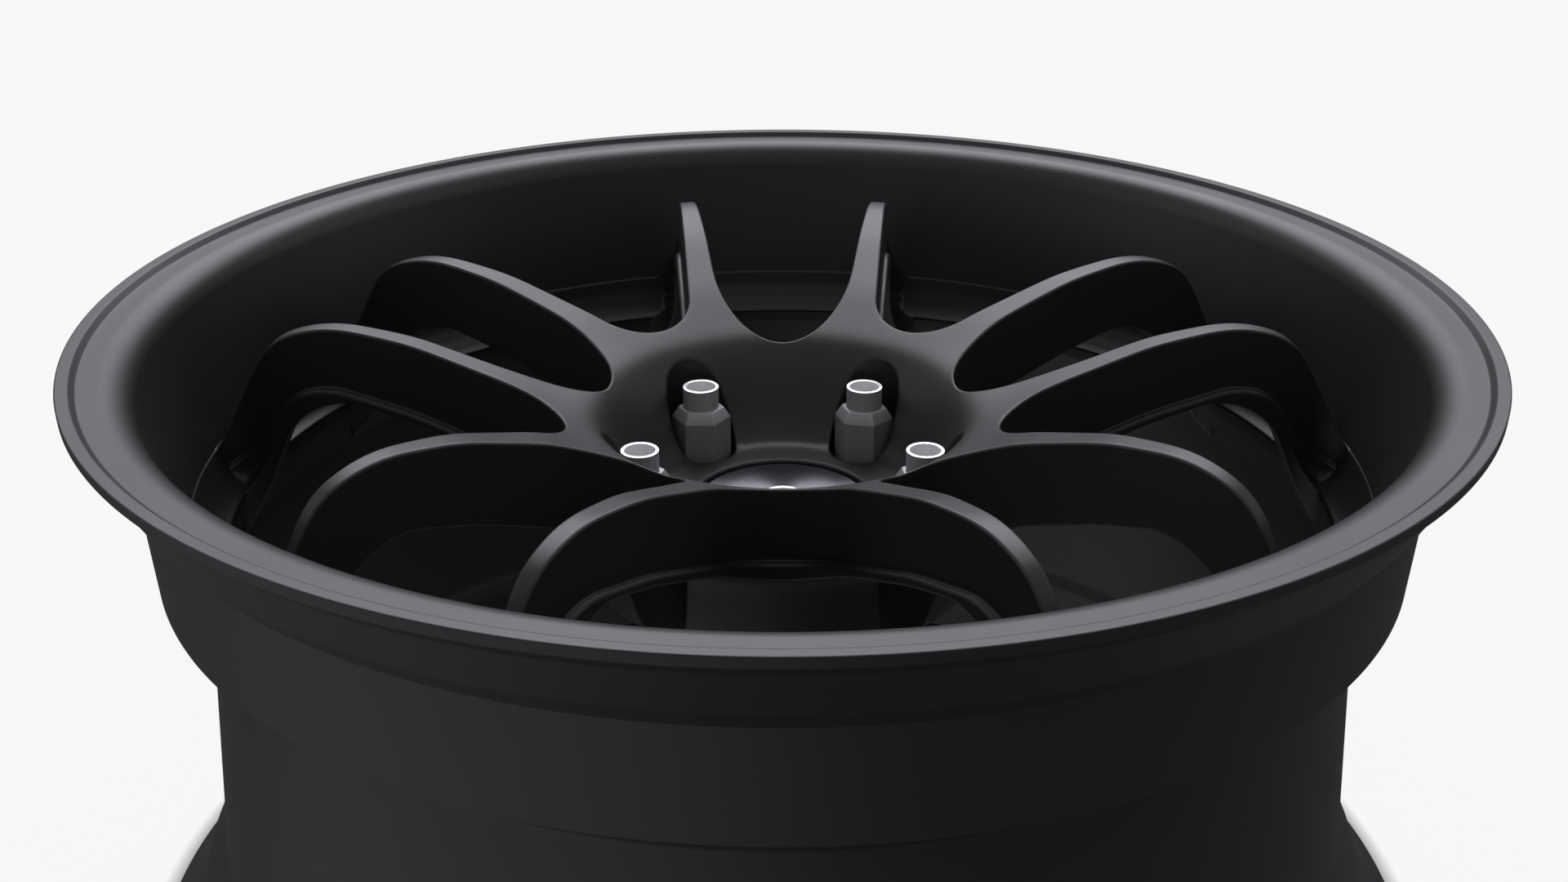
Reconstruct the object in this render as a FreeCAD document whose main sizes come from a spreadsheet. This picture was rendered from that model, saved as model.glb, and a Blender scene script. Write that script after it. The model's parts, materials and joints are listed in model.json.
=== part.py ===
import FreeCAD, Part
import os
import Sketcher
from math import atan2, cos, hypot, pi, sin, sqrt, tan

# Forged racing wheel, front face up, standing on the plane of its rear flange.
# Wheel axis is +Z, the origin is the centre of the rear flange plane.
# Profiles are (radius, height) pairs; every number below is a cell of the sheet.

LUGS = 5
VALVE_AZIMUTH = -90

PROFILE_POINTS = {
    # barrel, outside, from the front lip to the rear flange
    "lip_edge": (261.0, 265.0),
    "flange_rim": (260.8, 261.2),
    "flange_crease": (255.8, 256.6),
    "flange_foot": (244.6, 237.0),
    "bead_corner": (239.3, 230.1),
    "bead_end": (236.2, 188.5),
    "well_front": (219.0, 176.0),
    "well_rear": (225.8, 59.0),
    "hump_rear": (235.1, 46.0),
    "bead_rear": (238.2, 28.0),
    "rear_foot": (243.0, 21.0),
    "rear_crease": (255.6, 4.8),
    "rear_edge": (260.7, 1.2),
    "rear_plane": (260.4, 0.0),
    # barrel, inside, from the rear flange back to the front lip
    "rear_mouth": (243.5, 0.0),
    "rear_throat": (231.6, 22.0),
    "rear_wall": (230.2, 47.0),
    "inner_well_rear": (220.6, 60.0),
    "inner_well_front": (214.4, 168.0),
    "ledge_under": (212.6, 181.0),
    "ledge_corner": (212.6, 185.6),
    "ledge_root": (219.9, 193.4),
    "wall_crease": (223.3, 201.4),
    "lip_inner": (237.8, 262.8),
    "lip_step": (254.3, 262.8),
    "lip_land": (256.5, 265.0),
    # spoke face, from the bore over the bowl to the barrel
    "floor_bore": (30.0, 185.9),
    "bowl_root": (53.8, 185.9),
    "bowl_brow": (68.5, 222.3),
    "face_low": (104.0, 237.5),
    "face_mid": (142.0, 249.9),
    "face_peak": (176.5, 255.0),
    "face_shoulder": (201.5, 246.5),
    "face_drop": (217.5, 214.5),
    "face_root": (226.0, 196.0),
    # step line part way down the side of every spoke
    "step_bore": (30.0, 170.0),
    "step_hub": (84.0, 200.8),
    "step_inner": (104.0, 208.2),
    "step_mid": (142.0, 222.2),
    "step_peak": (175.0, 230.0),
    "step_shoulder": (192.5, 226.2),
    "step_drop": (207.5, 203.0),
    "step_root": (226.0, 190.0),
    # underside of the spokes and the mounting pad
    "foot_seat": (226.0, 189.0),
    "foot_under": (218.0, 181.0),
    "foot_end": (218.0, 160.0),
    "foot_bend": (204.0, 186.5),
    "foot_arch": (189.5, 221.3),
    "foot_peak": (165.0, 224.6),
    "foot_mid": (140.0, 217.6),
    "foot_inner": (108.0, 205.6),
    "pad_neck": (84.0, 193.0),
    "pad_edge": (76.0, 157.0),
    "pad_bore": (30.0, 157.0),
}

SIZES = {
    # rounding radii of the profiles
    "round_lip": 12.0, "round_flange": 18.0, "round_ledge": 9.0, "round_root": 22.0,
    "round_crease": 42.0, "round_throat": 30.0,
    "round_floor": 5.0, "round_brow": 18.0, "round_face": 90.0, "round_peak": 55.0,
    "round_shoulder": 24.0, "round_drop": 14.0, "round_arch": 32.0, "round_foot": 24.0,
    "round_step": 30.0, "round_bend": 16.0, "round_neck": 14.0, "round_well": 8.0,
    "round_pad": 2.0,
    # windows between the spokes, in plan; u runs out along the window's own axis
    "pair_tip": 73.0, "pair_tip_v": 11.4, "pair_bend_u": 95.9, "pair_bend_v": 27.45,
    "pair_end_u": 205.0, "pair_end_v": 44.7, "pair_tip_round": 20.0, "pair_bend_round": 64.0,
    "gap_apex": 62.1, "gap_end_u": 192.0, "gap_end_v": 77.6, "gap_tip_round": 25.2,
    "window_reach": 223.8, "window_corner": 13.0,
    "foot_margin": 2.2, "pair_foot_margin": 0.3, "tool_length": 300.0,
    # lug stations
    "pitch_radius": 57.15, "pocket_radius": 13.9, "pocket_floor": 177.2,
    "insert_radius": 12.6, "insert_bottom": 168.0, "insert_bore": 7.5, "insert_mouth": 11.3,
    "insert_cone_bottom": 170.8, "lug_hole_radius": 7.25,
    # open ended lug nut with a free spinning seat collar
    "nut_top": 214.15, "hex_top": 205.0, "hex_shoulder": 200.8, "hex_bottom": 180.6,
    "hex_flats": 21.0, "hex_crown": 16.0, "sleeve_radius": 7.3, "sleeve_bore": 6.0,
    "sleeve_bore_floor": 201.0, "thread_radius": 5.2, "shank_radius": 6.6,
    "shank_bottom": 170.0,
    "collar_top": 180.55, "collar_flange": 11.9, "collar_under": 177.3, "collar_bore": 6.66,
    "collar_bottom": 171.3,
    # centre bore and cap
    "cap_bore": 34.9, "cap_stop": 172.55, "cap_stop_bore": 34.0, "cap_chamfer": 0.8, "spigot_radius": 36.5,
    "cap_flange_top": 183.2, "cap_flange_under": 180.8, "cap_body_radius": 34.85,
    "cap_skirt_bottom": 172.6, "cap_skirt_inner": 31.2,
    "cover_radius": 32.7, "cover_edge": 186.2, "cover_apex": 188.3, "cover_shoulder": 31.6,
    "cover_spigot": 12.0, "cover_spigot_bottom": 181.2,
    "wire_radius": 0.8, "wire_level": 174.6, "slot_half": 2.2, "slot_top": 179.2,
    # hub ring in the back of the bore
    "ring_outer": 36.45, "ring_bore": 33.05, "ring_top": 166.4, "ring_bottom": 157.4,
    "bore_step": 166.6, "ring_lead": 1.0,
    # clamped tyre valve, lying radially in the well
    "valve_height": 140.0, "valve_hole": 5.8, "flat_outer": 220.4, "flat_inner": 216.8,
    "flat_radius": 11.5, "stem_head": 9.0, "stem_head_out": 224.4, "stem_head_in": 222.4,
    "grommet_out": 222.4, "grommet_collar": 220.4, "grommet_in": 217.2, "grommet_radius": 8.8,
    "stem_radius": 4.0, "stem_neck": 3.1, "stem_tip": 181.0, "stem_shoulder": 193.0,
    "stem_bore": 1.9, "washer_in": 215.4, "washer_radius": 8.4, "valve_nut_in": 209.0,
    "valve_nut_flats": 12.0, "core_radius": 1.85, "core_tip": 183.0, "core_end": 203.0,
    "core_bore": 0.75, "pin_radius": 0.7, "pin_tip": 181.6, "pin_end": 206.0,
    "vcap_radius": 4.6, "vcap_tip": 178.2, "vcap_roof": 180.0, "vcap_mouth": 190.6,
    "vcap_bore": 3.15,
}

# Values that follow from the ones above.
DERIVED = {
    "pair_foot_tip": "=pair_tip + pair_foot_margin",
    "pair_foot_tip_v": "=pair_tip_v - pair_foot_margin * 0.73",
    "pair_foot_bend_u": "=pair_bend_u + pair_foot_margin * 0.40",
    "pair_foot_bend_v": "=pair_bend_v - pair_foot_margin * 1.07",
    "pair_foot_end_u": "=pair_end_u",
    "pair_foot_end_v": "=pair_end_v - pair_foot_margin * 1.01",
    "pair_foot_tip_round": "=pair_tip_round - pair_foot_margin * 1.7",
    "pair_foot_bend_round": "=pair_bend_round - pair_foot_margin",
    "gap_foot_apex": "=gap_apex + foot_margin * 1.94",
    "gap_foot_end_u": "=gap_end_u",
    "gap_foot_end_v": "=gap_end_v - foot_margin * 1.17",
    "gap_foot_tip_round": "=gap_tip_round - foot_margin",
    "zero": "0",
    "bore_start": "=pad_bore_z - 1",
    "bore_chamfer": "=floor_bore_z - cap_chamfer",
    "bore_mouth": "=cap_bore + cap_chamfer",
    "bore_open": "=floor_bore_z + 1",
    "nut_crown_side": "=hex_crown / 2 * 1.1547",
    "hex_underside": "=hex_flats / 2 - 1",
    "nut_mid": "=hex_bottom + 4",
    "nut_rim": "=nut_top - 0.3",
    "nut_rim_radius": "=sleeve_radius - 0.3",
    "nut_below": "=shank_bottom - 1",
    "nut_above": "=nut_top + 1",
    "thread_mouth": "=thread_radius + 0.8",
    "thread_start": "=shank_bottom + 0.8",
    "sleeve_bore_top": "=sleeve_bore_floor + 0.8",
    "nut_countersink": "=nut_top - 0.4",
    "nut_mouth": "=sleeve_bore + 0.4",
    "collar_tip": "=collar_bore + 1.34",
    "collar_cone": "=collar_bore + 4.67",
    "insert_throat": "=insert_bore + 0.25",
    "cover_land": "=cap_flange_top + 0.8",
    "cover_socket": "=cover_spigot",
    "cap_web_bottom": "=cap_flange_under",
    "cap_groove": "=cap_skirt_inner + 0.7",
    "wire_roof": "=wire_level + 1",
    "wire_floor": "=wire_level - 1",
    "cap_skirt_lead": "=cap_body_radius - 0.8",
    "cap_skirt_lead_z": "=cap_skirt_bottom + 1.2",
    "slot_low": "=cap_skirt_bottom - 2",
    "ring_shoulder": "=ring_top - ring_lead",
    "ring_lead_radius": "=ring_outer - ring_lead",
    "stem_cone": "=stem_shoulder + 1.2",
    "stem_head_edge": "=stem_head_out - 0.6",
    "stem_head_face": "=stem_head - 0.6",
    "stem_clear": "=stem_radius + 0.06",
    "valve_nut_side": "=valve_nut_flats / 2 * 1.1547",
    "valve_nut_low": "=valve_nut_in - 1",
    "valve_nut_high": "=washer_in + 1",
    "pin_neck": "=core_end + 0.6",
    "pin_seat": "=pin_radius + 0.7",
    "vcap_crown": "=vcap_radius - 1.2",
    "vcap_shoulder": "=vcap_tip + 1.2",
    "nut_hex_side": "=hex_flats / 2 * 1.1547",
}

doc = FreeCAD.newDocument("wheel")
sheet = doc.addObject("Spreadsheet::Sheet", "Dims")
cells = {name: "%g" % value for name, value in SIZES.items()}
for name, (radius, height) in PROFILE_POINTS.items():
    cells[name + "_r"] = "%g" % radius
    cells[name + "_z"] = "%g" % height
cells.update(DERIVED)
for row, (name, text) in enumerate(cells.items(), start=1):
    sheet.set("A%d" % row, name)
    sheet.set("B%d" % row, text)
    sheet.setAlias("B%d" % row, name)
doc.recompute()


def size(name):
    """Number held by a named cell."""
    return float(sheet.get(name))


def bind(thing, path, text):
    """Ties a property to an expression in which sheet names are written with a leading $."""
    thing.setExpression(path, text.replace("$", "Dims."))


def new_body(label):
    body = doc.addObject("PartDesign::Body", label)
    body.Label = label
    return body


def new_sketch(body, plane="XZ_Plane"):
    sketch = body.newObject("Sketcher::SketchObject", body.Label + "_sketch")
    for feature in body.Origin.OriginFeatures:
        if feature.Role == plane:
            sketch.AttachmentSupport = [(feature, "")]
    sketch.MapMode = "FlatFace"
    return sketch


def hold(sketch, constraint, text):
    index = sketch.addConstraint(constraint)
    bind(sketch, "Constraints[%d]" % index, text)


def place_point(sketch, geo, pos, corner):
    """Ties a sketch point to the two cells of a corner; side -1 mirrors it across X."""
    x_name, y_name, side = corner[0], corner[1], corner[3]
    if abs(size(x_name)) < 1e-9:
        sketch.addConstraint(Sketcher.Constraint("PointOnObject", geo, pos, -2))
    else:
        hold(sketch, Sketcher.Constraint("DistanceX", -1, 1, geo, pos, size(x_name)), "$" + x_name)
    if abs(size(y_name)) < 1e-9:
        sketch.addConstraint(Sketcher.Constraint("PointOnObject", geo, pos, -1))
    elif side > 0:
        hold(sketch, Sketcher.Constraint("DistanceY", -1, 1, geo, pos, size(y_name)), "$" + y_name)
    else:
        hold(sketch, Sketcher.Constraint("DistanceY", geo, pos, -1, 1, size(y_name)), "$" + y_name)


def rounded(before, here, after, radius):
    """Start, end and centre of the arc that rounds one corner."""
    ax, ay = before[0] - here[0], before[1] - here[1]
    bx, by = after[0] - here[0], after[1] - here[1]
    la, lb = hypot(ax, ay), hypot(bx, by)
    ax, ay, bx, by = ax / la, ay / la, bx / lb, by / lb
    half = 0.5 * atan2(abs(ax * by - ay * bx), ax * bx + ay * by)
    reach, far = radius / tan(half), radius / sin(half)
    mid = hypot(ax + bx, ay + by)
    return ((here[0] + ax * reach, here[1] + ay * reach), (here[0] + bx * reach, here[1] + by * reach),
            (here[0] + (ax + bx) / mid * far, here[1] + (ay + by) / mid * far))


def add_line(sketch, start, end):
    return sketch.addGeometry(Part.LineSegment(
        FreeCAD.Vector(start[0], start[1], 0), FreeCAD.Vector(end[0], end[1], 0)), False)


def add_arc(sketch, centre, radius, start, end, left_turn):
    """Arc from start to end; returns its index and which ends are its start and finish."""
    a0 = atan2(start[1] - centre[1], start[0] - centre[0])
    a1 = atan2(end[1] - centre[1], end[0] - centre[0])
    circle = Part.Circle(FreeCAD.Vector(centre[0], centre[1], 0), FreeCAD.Vector(0, 0, 1), radius)
    if left_turn:
        return sketch.addGeometry(Part.ArcOfCircle(circle, a0, a1), False), 1, 2
    return sketch.addGeometry(Part.ArcOfCircle(circle, a1, a0), False), 2, 1


def outline(sketch, corners, closed=True):
    """Chain of straight lines with rounded corners; corner = (x cell, y cell, round cell, side)."""
    xy = [(size(c[0]), size(c[1]) * c[3]) for c in corners]
    count = len(corners)
    arcs = [None if c[2] is None else
            rounded(xy[i - 1], xy[i], xy[(i + 1) % count], size(c[2])) for i, c in enumerate(corners)]
    lines = []
    for i in range(count if closed else count - 1):
        j = (i + 1) % count
        lines.append(add_line(sketch, arcs[i][1] if arcs[i] else xy[i], arcs[j][0] if arcs[j] else xy[j]))
    for i, corner in enumerate(corners):
        if not closed and i in (0, count - 1):
            continue
        before, after = lines[i - 1], lines[i]
        if arcs[i] is None:
            sketch.addConstraint(Sketcher.Constraint("Coincident", before, 2, after, 1))
            place_point(sketch, after, 1, corner)
            continue
        start, end, centre = arcs[i]
        nxt = xy[(i + 1) % count]
        turn = ((xy[i][0] - xy[i - 1][0]) * (nxt[1] - xy[i][1])
                - (xy[i][1] - xy[i - 1][1]) * (nxt[0] - xy[i][0]))
        arc, first, last = add_arc(sketch, centre, size(corner[2]), start, end, turn > 0)
        sketch.addConstraint(Sketcher.Constraint("Tangent", before, 2, arc, first))
        sketch.addConstraint(Sketcher.Constraint("Tangent", after, 1, arc, last))
        hold(sketch, Sketcher.Constraint("Radius", arc, size(corner[2])), "$" + corner[2])
        knot = sketch.addGeometry(Part.Point(FreeCAD.Vector(xy[i][0], xy[i][1], 0)), True)
        sketch.addConstraint(Sketcher.Constraint("PointOnObject", knot, 1, before))
        sketch.addConstraint(Sketcher.Constraint("PointOnObject", knot, 1, after))
        place_point(sketch, knot, 1, corner)
    return lines


def section(body, steps):
    """Half section of a turned piece, from (radius cell, height cell[, round cell]) steps."""
    sketch = new_sketch(body)
    outline(sketch, [(s[0], s[1], s[2] if len(s) > 2 else None, 1) for s in steps])
    return sketch


def points(*names):
    """Steps from profile point names; a rounded one is written as 'point/rounding'."""
    steps = []
    for name in names:
        point, _, rounding = name.partition("/")
        steps.append((point + "_r", point + "_z", rounding or None))
    return steps


def turned(body, steps, cut=False):
    """Full turn of a half section about the vertical axis."""
    sketch = section(body, steps)
    feature = body.newObject("PartDesign::Groove" if cut else "PartDesign::Revolution", body.Label + "_turn")
    feature.Profile = sketch
    feature.ReferenceAxis = (sketch, ["V_Axis"])
    feature.Angle = 360.0
    sketch.Visibility = False
    body.Tip = feature
    return feature


def solid_of_turn(label, steps):
    body = new_body(label)
    turned(body, steps)
    return body


def axis_of(body, role):
    for feature in body.Origin.OriginFeatures:
        if feature.Role == role:
            return (feature, [""])


def around(body, features, label):
    """Repeats features at all lug stations."""
    pattern = body.newObject("PartDesign::PolarPattern", label)
    pattern.Originals = features
    pattern.Axis = axis_of(body, "Z_Axis")
    pattern.Angle = 360.0
    pattern.Occurrences = LUGS
    body.Tip = pattern
    return pattern


def window(body, kind, azimuth):
    """Prism of one window: rounded inner end, two sides and an arc along the barrel."""
    sketch = new_sketch(body, "XY_Plane")
    sketch.AttachmentOffset = FreeCAD.Placement(
        FreeCAD.Vector(), FreeCAD.Rotation(FreeCAD.Vector(0, 0, 1), azimuth))
    end = (kind + "_end_u", kind + "_end_v", None)
    if kind.startswith("pair"):
        inner = [(kind + "_bend_u", kind + "_bend_v", kind + "_bend_round"),
                 (kind + "_tip", kind + "_tip_v", kind + "_tip_round")]
    else:
        inner = []
    corners = [end + (1,)] + [c + (1,) for c in inner]
    if not inner:
        corners.append((kind + "_apex", "zero", kind + "_tip_round", 1))
    corners += [c + (-1,) for c in reversed(inner)] + [end + (-1,)]
    lines = outline(sketch, corners, closed=False)
    first, last = sketch.Geometry[lines[0]], sketch.Geometry[lines[-1]]
    reach, corner = size("window_reach"), size("window_corner")
    joints = []
    for side, line in ((1, first), (-1, last)):
        near = line.StartPoint if side > 0 else line.EndPoint
        far = line.EndPoint if side > 0 else line.StartPoint
        along = (near - far).normalize()
        inward = FreeCAD.Vector(along.y, -along.x, 0) * side
        base = far + inward * corner
        dot = base.dot(along)
        run = -dot + sqrt(dot * dot - base.dot(base) + (reach - corner) ** 2)
        centre = base + along * run
        touch = far + along * run
        joints.append((centre, touch, centre * (reach / (reach - corner))))
    (c1, t1, w1), (c2, t2, w2) = joints
    for line_index, end_pos, touch in ((lines[0], 1, t1), (lines[-1], 2, t2)):
        sketch.moveGeometry(line_index, end_pos, touch)
    arc1, s1, f1 = add_arc(sketch, c1, corner, w1, t1, True)
    arc2, s2, f2 = add_arc(sketch, c2, corner, t2, w2, True)
    rim, s3, f3 = add_arc(sketch, (0.0, 0.0), reach, w2, w1, True)
    sketch.addConstraint(Sketcher.Constraint("Coincident", rim, 3, -1, 1))
    hold(sketch, Sketcher.Constraint("Radius", rim, reach), "$window_reach")
    for arc in (arc1, arc2):
        hold(sketch, Sketcher.Constraint("Radius", arc, corner), "$window_corner")
    sketch.addConstraint(Sketcher.Constraint("Tangent", arc1, f1, lines[0], 1))
    sketch.addConstraint(Sketcher.Constraint("Tangent", arc1, s1, rim, f3))
    sketch.addConstraint(Sketcher.Constraint("Tangent", arc2, s2, lines[-1], 2))
    sketch.addConstraint(Sketcher.Constraint("Tangent", arc2, f2, rim, s3))
    for line_index, side, corner_cells in ((lines[0], 1, corners[0]), (lines[-1], -1, corners[-1])):
        knot = sketch.addGeometry(Part.Point(FreeCAD.Vector(
            size(corner_cells[0]), side * size(corner_cells[1]), 0)), True)
        sketch.addConstraint(Sketcher.Constraint("PointOnObject", knot, 1, line_index))
        place_point(sketch, knot, 1, corner_cells)
    pad = body.newObject("PartDesign::Pad", kind + "_prism")
    pad.Profile = sketch
    bind(pad, "Length", "$tool_length")
    sketch.Visibility = False
    return pad


def pieces_of(kind_pair, kind_gap, label):
    """All ten window prisms as one tool."""
    body = new_body(label)
    around(body, [window(body, kind_pair, 90.0)], label + "_pairs")
    other = new_body(label + "_between")
    around(other, [window(other, kind_gap, 54.0)], label + "_gaps")
    return [body, other]


def cut_all(base, tools, label):
    """Takes several tools out of a shape, one after another."""
    for number, tool in enumerate(tools):
        cut = doc.addObject("Part::Cut", "%s_%d" % (label, number))
        cut.Base, cut.Tool = base, tool
        base = cut
    return base


def cylinder(label, radius, height, x="0", y="0", z="0", roll=0.0):
    """Cylinder with every size an expression; roll tips its axis from +Z towards -Y."""
    tube = doc.addObject("Part::Cylinder", label)
    bind(tube, "Radius", radius)
    bind(tube, "Height", height)
    tube.Placement.Rotation = FreeCAD.Rotation(FreeCAD.Vector(1, 0, 0), roll)
    for path, text in (("x", x), ("y", y), ("z", z)):
        if text != "0":
            bind(tube, "Placement.Base." + path, text)
    return tube


# ---- the one-piece forging -------------------------------------------------------------

barrel = solid_of_turn("barrel_form", points(
    "lip_edge", "flange_rim", "flange_crease", "flange_foot/round_flange", "bead_corner",
    "bead_end", "well_front", "well_rear/round_well", "hump_rear/round_pad", "bead_rear",
    "rear_foot/round_ledge", "rear_crease", "rear_edge", "rear_plane", "rear_mouth/round_pad",
    "rear_throat/round_throat", "rear_wall/round_ledge", "inner_well_rear/round_ledge",
    "inner_well_front", "ledge_under", "ledge_corner", "ledge_root/round_root", "wall_crease/round_crease",
    "lip_inner/round_lip", "lip_step", "lip_land"))
face_disc = solid_of_turn("face_layer", points(
    "floor_bore", "step_bore", "step_hub/round_neck", "step_inner/round_face", "step_mid/round_face",
    "step_peak/round_step", "step_shoulder/round_shoulder", "step_drop/round_shoulder", "step_root",
    "face_root", "face_drop/round_drop", "face_shoulder/round_shoulder", "face_peak/round_peak",
    "face_mid/round_face", "face_low/round_face", "bowl_brow/round_brow", "bowl_root/round_floor"))
foot_disc = solid_of_turn("foot_layer", points(
    "step_bore", "pad_bore", "pad_edge/round_pad", "pad_neck/round_neck", "foot_inner/round_face",
    "foot_mid/round_peak", "foot_peak/round_foot", "foot_arch/round_arch", "foot_bend/round_bend",
    "foot_end", "foot_under", "foot_seat", "step_drop/round_shoulder",
    "step_shoulder/round_shoulder", "step_peak/round_step", "step_mid/round_face",
    "step_inner/round_face", "step_hub/round_neck"))
face_cut = cut_all(face_disc, pieces_of("pair", "gap", "face_windows"), "face_spokes")
foot_cut = cut_all(foot_disc, pieces_of("pair_foot", "gap_foot", "foot_windows"), "foot_spokes")
raw = doc.addObject("Part::MultiFuse", "raw_forging")
raw.Shapes = [barrel, face_cut, foot_cut]

stations = []
for azimuth in range(54, 414, 360 // LUGS):
    parts = [
        cylinder("pocket_%d" % azimuth, "$pocket_radius", "$tool_length"),
        cylinder("seat_pocket_%d" % azimuth, "$insert_radius", "$tool_length"),
        cylinder("stud_hole_%d" % azimuth, "$lug_hole_radius", "$tool_length")]
    for part, level in zip(parts, ("$pocket_floor", "$insert_bottom", "$pad_bore_z - 5")):
        bind(part, "Placement.Base.x", "$pitch_radius * cos(%d deg)" % azimuth)
        bind(part, "Placement.Base.y", "$pitch_radius * sin(%d deg)" % azimuth)
        bind(part, "Placement.Base.z", level)
    stations += parts

bore_tool = solid_of_turn("bore_tool", [
    ("zero", "bore_start"), ("spigot_radius", "bore_start"), ("spigot_radius", "bore_step"),
    ("cap_stop_bore", "bore_step"), ("cap_stop_bore", "cap_stop"), ("cap_bore", "cap_stop"),
    ("cap_bore", "bore_chamfer"), ("bore_mouth", "floor_bore_z"),
    ("bore_mouth", "bore_open"), ("zero", "bore_open")])
valve_tools = [
    cylinder("valve_hole", "$valve_hole", "40", "0", "-$flat_inner + 15", "$valve_height", 90.0),
    cylinder("valve_flat_outside", "$flat_radius", "12", "0", "-$flat_outer", "$valve_height", 90.0),
    cylinder("valve_flat_inside", "$flat_radius", "14", "0", "-$flat_inner + 14", "$valve_height", 90.0)]
tools = doc.addObject("Part::MultiFuse", "machining")
tools.Shapes = stations + [bore_tool] + valve_tools
forging = doc.addObject("Part::Cut", "wheel_forging")
forging.Base, forging.Tool = raw, tools

# ---- lug nuts, their collars and the seat inserts, one set per station --------------------


def at_station(body, azimuth, turn=0.0):
    bind(body, "Placement.Base.x", "$pitch_radius * cos(%d deg)" % azimuth)
    bind(body, "Placement.Base.y", "$pitch_radius * sin(%d deg)" % azimuth)
    body.Placement.Rotation = FreeCAD.Rotation(FreeCAD.Vector(0, 0, 1), azimuth + turn)
    return body


def hexagon(body, side_cell, level):
    """Regular hexagon sketch with its corners on a circle, flats facing along the local X axis."""
    sketch = new_sketch(body, "XY_Plane")
    radius = size(side_cell)
    corners = [FreeCAD.Vector(radius * cos(pi / 6 + k * pi / 3), radius * sin(pi / 6 + k * pi / 3), 0)
               for k in range(6)]
    sides = [add_line(sketch, corners[k], corners[(k + 1) % 6]) for k in range(6)]
    ring = sketch.addGeometry(Part.Circle(FreeCAD.Vector(), FreeCAD.Vector(0, 0, 1), radius), True)
    sketch.addConstraint(Sketcher.Constraint("Coincident", ring, 3, -1, 1))
    hold(sketch, Sketcher.Constraint("Radius", ring, radius), "$" + side_cell)
    for k in range(6):
        sketch.addConstraint(Sketcher.Constraint("Coincident", sides[k - 1], 2, sides[k], 1))
        sketch.addConstraint(Sketcher.Constraint("PointOnObject", sides[k], 1, ring))
        if k:
            sketch.addConstraint(Sketcher.Constraint("Equal", sides[0], sides[k]))
    sketch.addConstraint(Sketcher.Constraint("Vertical", sides[5]))
    bind(sketch, "AttachmentOffset.Base.z", "$" + level)
    return sketch


def hex_prism(body, side_cell, low, high):
    sketch = hexagon(body, side_cell, low)
    pad = body.newObject("PartDesign::Pad", body.Label + "_hex")
    pad.Profile = sketch
    bind(pad, "Length", "$%s - $%s" % (high, low))
    sketch.Visibility = False
    body.Tip = pad


def lug_nut(number, azimuth):
    nut = new_body("lug_nut_%d" % number)
    hex_prism(nut, "nut_hex_side", "hex_bottom", "hex_shoulder")
    low = hexagon(nut, "nut_hex_side", "hex_shoulder")
    high = hexagon(nut, "nut_crown_side", "hex_top")
    crown = nut.newObject("PartDesign::AdditiveLoft", nut.Label + "_crown")
    crown.Profile = low
    crown.Sections = [high]
    turned(nut, [("zero", "hex_bottom"), ("hex_underside", "hex_bottom"), ("hex_underside", "nut_mid"),
                 ("sleeve_radius", "nut_mid"), ("sleeve_radius", "nut_rim"), ("nut_rim_radius", "nut_top"),
                 ("zero", "nut_top")])
    turned(nut, [("zero", "shank_bottom"), ("shank_radius", "shank_bottom"),
                 ("shank_radius", "hex_bottom"), ("zero", "hex_bottom")])
    turned(nut, [("zero", "nut_below"), ("thread_mouth", "shank_bottom"), ("thread_radius", "thread_start"),
                 ("thread_radius", "sleeve_bore_floor"), ("sleeve_bore", "sleeve_bore_top"),
                 ("sleeve_bore", "nut_countersink"), ("nut_mouth", "nut_top"), ("zero", "nut_above")],
           cut=True)
    return at_station(nut, azimuth, 23.5)


def seat_collar(number, azimuth):
    collar = solid_of_turn("nut_collar_%d" % number, [
        ("collar_bore", "collar_bottom"), ("collar_tip", "collar_bottom"), ("collar_cone", "collar_under"),
        ("collar_flange", "collar_under"), ("collar_flange", "collar_top"), ("collar_bore", "collar_top")])
    return at_station(collar, azimuth)


def seat_insert(number, azimuth):
    insert = solid_of_turn("seat_insert_%d" % number, [
        ("insert_bore", "insert_bottom"), ("insert_radius", "insert_bottom"),
        ("insert_radius", "pocket_floor"), ("insert_mouth", "pocket_floor"),
        ("insert_throat", "insert_cone_bottom"), ("insert_bore", "insert_cone_bottom")])
    return at_station(insert, azimuth)


nodes = [forging]
for station in range(LUGS):
    azimuth = 54 + station * 360 // LUGS
    nodes += [seat_insert(station + 1, azimuth), seat_collar(station + 1, azimuth),
              lug_nut(station + 1, azimuth)]

# ---- centre cap and hub ring ------------------------------------------------------------

nodes.append(solid_of_turn("cap_cover", [
    ("zero", "cover_spigot_bottom"), ("cover_spigot", "cover_spigot_bottom"),
    ("cover_spigot", "cap_flange_top"), ("cover_shoulder", "cap_flange_top"),
    ("cover_radius", "cover_land"), ("cover_radius", "cover_edge"), ("zero", "cover_apex")]))

cap = solid_of_turn("cap_body", [
    ("cover_socket", "cap_web_bottom"), ("cap_skirt_inner", "cap_web_bottom"),
    ("cap_skirt_inner", "wire_roof"), ("cap_groove", "wire_roof"), ("cap_groove", "wire_floor"),
    ("cap_skirt_inner", "wire_floor"), ("cap_skirt_inner", "cap_skirt_bottom"),
    ("cap_skirt_lead", "cap_skirt_bottom"), ("cap_body_radius", "cap_skirt_lead_z"),
    ("cap_body_radius", "cap_flange_top"), ("cover_socket", "cap_flange_top")])
slot = new_sketch(cap, "XZ_Plane")
outline(slot, [("slot_half", "slot_low", None, 1), ("slot_half", "slot_top", None, 1),
               ("zero", "slot_top", None, 1), ("zero", "slot_low", None, 1)])
leg_cut = cap.newObject("PartDesign::Pocket", "leg_slot")
leg_cut.Profile = slot
leg_cut.Type = "ThroughAll"
leg_cut.Midplane = True
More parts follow.
